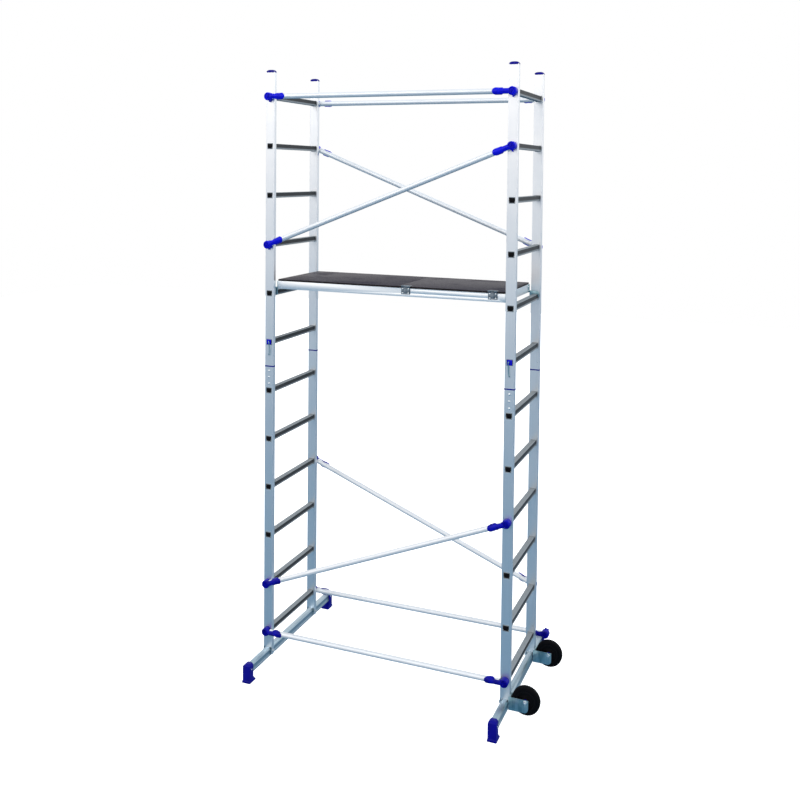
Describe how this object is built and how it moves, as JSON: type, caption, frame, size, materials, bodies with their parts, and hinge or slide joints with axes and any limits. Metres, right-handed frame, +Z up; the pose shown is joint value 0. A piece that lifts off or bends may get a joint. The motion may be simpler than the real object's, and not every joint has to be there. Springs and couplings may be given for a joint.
{
  "type": "mobile scaffold tower",
  "caption": "Narrow aluminium work tower: two tall ladder frames joined by clip-on braces, a hooked-on deck with a trapdoor, and crossbars with plastic feet and transport wheels.",
  "frame": {"origin": "on the floor, under the middle of the whole object's bounding box", "axes": "+Z up the frames; +X from the frame without wheels to the frame with wheels; +Y from the front (camera side, trapdoor hinges) to the back"},
  "size_m": [1.6376, 1.048, 3.429],
  "materials": {
    "stile_aluminium": "extruded matt mill finish with fine lengthwise lines",
    "rung_aluminium": "ribbed extruded, duller than the stiles",
    "rail_aluminium": "extruded matt",
    "brace_aluminium": "round drawn tube, fine lengthwise lines",
    "zinc_steel": "zinc plated steel, faint blue green sheen",
    "bright_steel": "bright zinc plated fasteners",
    "dark_steel": "dark passivated steel",
    "blue_plastic": "moulded ultramarine plastic",
    "navy_plastic": "moulded dark blue plastic",
    "black_plastic": "moulded black plastic",
    "tyre_rubber": "black rubber with a small tread",
    "deck_board": "resin faced plywood, dark purple grey, fine anti-slip print"
  },
  "bodies": {
    "tower": {"left_lower_stiles": "stile_aluminium", "left_upper_stiles": "stile_aluminium", "right_lower_stiles": "stile_aluminium", "right_upper_stiles": "stile_aluminium", "left_rungs": "rung_aluminium", "right_rungs": "rung_aluminium", "joint_spigots": "stile_aluminium", "spigot_rivets": "bright_steel", "joint_gaskets": "navy_plastic", "stile_caps": "navy_plastic", "rung_end_plugs": "black_plastic", "base_crossbars": "stile_aluminium", "feet": "navy_plastic", "foot_screws": "bright_steel", "saddle_bolts": "bright_steel", "saddle_spacers": "zinc_steel", "lock_nuts": "bright_steel", "wheel_brackets": "zinc_steel", "axle_bolts": "bright_steel"},
    "front_wheel": {"front_tyre": "tyre_rubber", "front_wheel_hub": "black_plastic", "front_wheel_bushes": "navy_plastic"},
    "rear_wheel": {"rear_tyre": "tyre_rubber", "rear_wheel_hub": "black_plastic", "rear_wheel_bushes": "navy_plastic"},
    "platform": {"platform_side_rails": "rail_aluminium", "platform_end_rails": "rail_aluminium", "platform_cross_members": "rail_aluminium", "platform_hooks": "zinc_steel", "deck_panel": "deck_board", "hinge_plates": "dark_steel", "hinge_pins": "bright_steel", "platform_rivets": "bright_steel"},
    "hatch": {"hatch_panel": "deck_board", "hatch_leaves": "dark_steel"},
    "front_left_lock_pin": {"front_left_pin_plug": "blue_plastic", "front_left_pin_wire": "zinc_steel"},
    "front_right_lock_pin": {"front_right_pin_plug": "blue_plastic", "front_right_pin_wire": "zinc_steel"},
    "rear_left_lock_pin": {"rear_left_pin_plug": "blue_plastic", "rear_left_pin_wire": "zinc_steel"},
    "rear_right_lock_pin": {"rear_right_pin_plug": "blue_plastic", "rear_right_pin_wire": "zinc_steel"},
    "front_top_brace_set": {"front_top_brace": "brace_aluminium", "front_top_clips": "blue_plastic"},
    "front_upper_diagonal_set": {"front_upper_diagonal": "brace_aluminium", "front_upper_clips": "blue_plastic"},
    "front_lower_diagonal_set": {"front_lower_diagonal": "brace_aluminium", "front_lower_clips": "blue_plastic"},
    "front_bottom_brace_set": {"front_bottom_brace": "brace_aluminium", "front_bottom_clips": "blue_plastic"},
    "rear_top_brace_set": {"rear_top_brace": "brace_aluminium", "rear_top_clips": "blue_plastic"},
    "rear_upper_diagonal_set": {"rear_upper_diagonal": "brace_aluminium", "rear_upper_clips": "blue_plastic"},
    "rear_lower_diagonal_set": {"rear_lower_diagonal": "brace_aluminium", "rear_lower_clips": "blue_plastic"},
    "rear_bottom_brace_set": {"rear_bottom_brace": "brace_aluminium", "rear_bottom_clips": "blue_plastic"}
  },
  "joints": [
    {"name": "front_wheel_spin", "type": "hinge", "parent": "tower", "child": "front_wheel", "pos_m": [0.74375, -0.265, 0.107], "axis": [0, 1, 0], "continuous": true},
    {"name": "rear_wheel_spin", "type": "hinge", "parent": "tower", "child": "rear_wheel", "pos_m": [0.74375, 0.265, 0.107], "axis": [0, 1, 0], "continuous": true},
    {"name": "platform_lift", "type": "slide", "parent": "tower", "child": "platform", "axis": [0, 0, 1], "range_m": [0, 0.12]},
    {"name": "hatch_hinge", "type": "hinge", "parent": "platform", "child": "hatch", "pos_m": [0.28375, -0.2545, 2.2375], "axis": [1, 0, 0], "range_deg": [0, 92]},
    {"name": "front_left_lock_pin_pull", "type": "slide", "parent": "tower", "child": "front_left_lock_pin", "axis": [0, -1, 0], "range_m": [0, 0.03]},
    {"name": "front_right_lock_pin_pull", "type": "slide", "parent": "tower", "child": "front_right_lock_pin", "axis": [0, -1, 0], "range_m": [0, 0.03]},
    {"name": "rear_left_lock_pin_pull", "type": "slide", "parent": "tower", "child": "rear_left_lock_pin", "axis": [0, 1, 0], "range_m": [0, 0.03]},
    {"name": "rear_right_lock_pin_pull", "type": "slide", "parent": "tower", "child": "rear_right_lock_pin", "axis": [0, 1, 0], "range_m": [0, 0.03]},
    {"name": "front_top_brace_pull", "type": "slide", "parent": "tower", "child": "front_top_brace_set", "axis": [0, -1, 0], "range_m": [0, 0.045]},
    {"name": "front_upper_diagonal_pull", "type": "slide", "parent": "tower", "child": "front_upper_diagonal_set", "axis": [0, -1, 0], "range_m": [0, 0.045]},
    {"name": "front_lower_diagonal_pull", "type": "slide", "parent": "tower", "child": "front_lower_diagonal_set", "axis": [0, -1, 0], "range_m": [0, 0.045]},
    {"name": "front_bottom_brace_pull", "type": "slide", "parent": "tower", "child": "front_bottom_brace_set", "axis": [0, -1, 0], "range_m": [0, 0.045]},
    {"name": "rear_top_brace_pull", "type": "slide", "parent": "tower", "child": "rear_top_brace_set", "axis": [0, 1, 0], "range_m": [0, 0.045]},
    {"name": "rear_upper_diagonal_pull", "type": "slide", "parent": "tower", "child": "rear_upper_diagonal_set", "axis": [0, 1, 0], "range_m": [0, 0.045]},
    {"name": "rear_lower_diagonal_pull", "type": "slide", "parent": "tower", "child": "rear_lower_diagonal_set", "axis": [0, 1, 0], "range_m": [0, 0.045]},
    {"name": "rear_bottom_brace_pull", "type": "slide", "parent": "tower", "child": "rear_bottom_brace_set", "axis": [0, 1, 0], "range_m": [0, 0.045]}
  ]
}
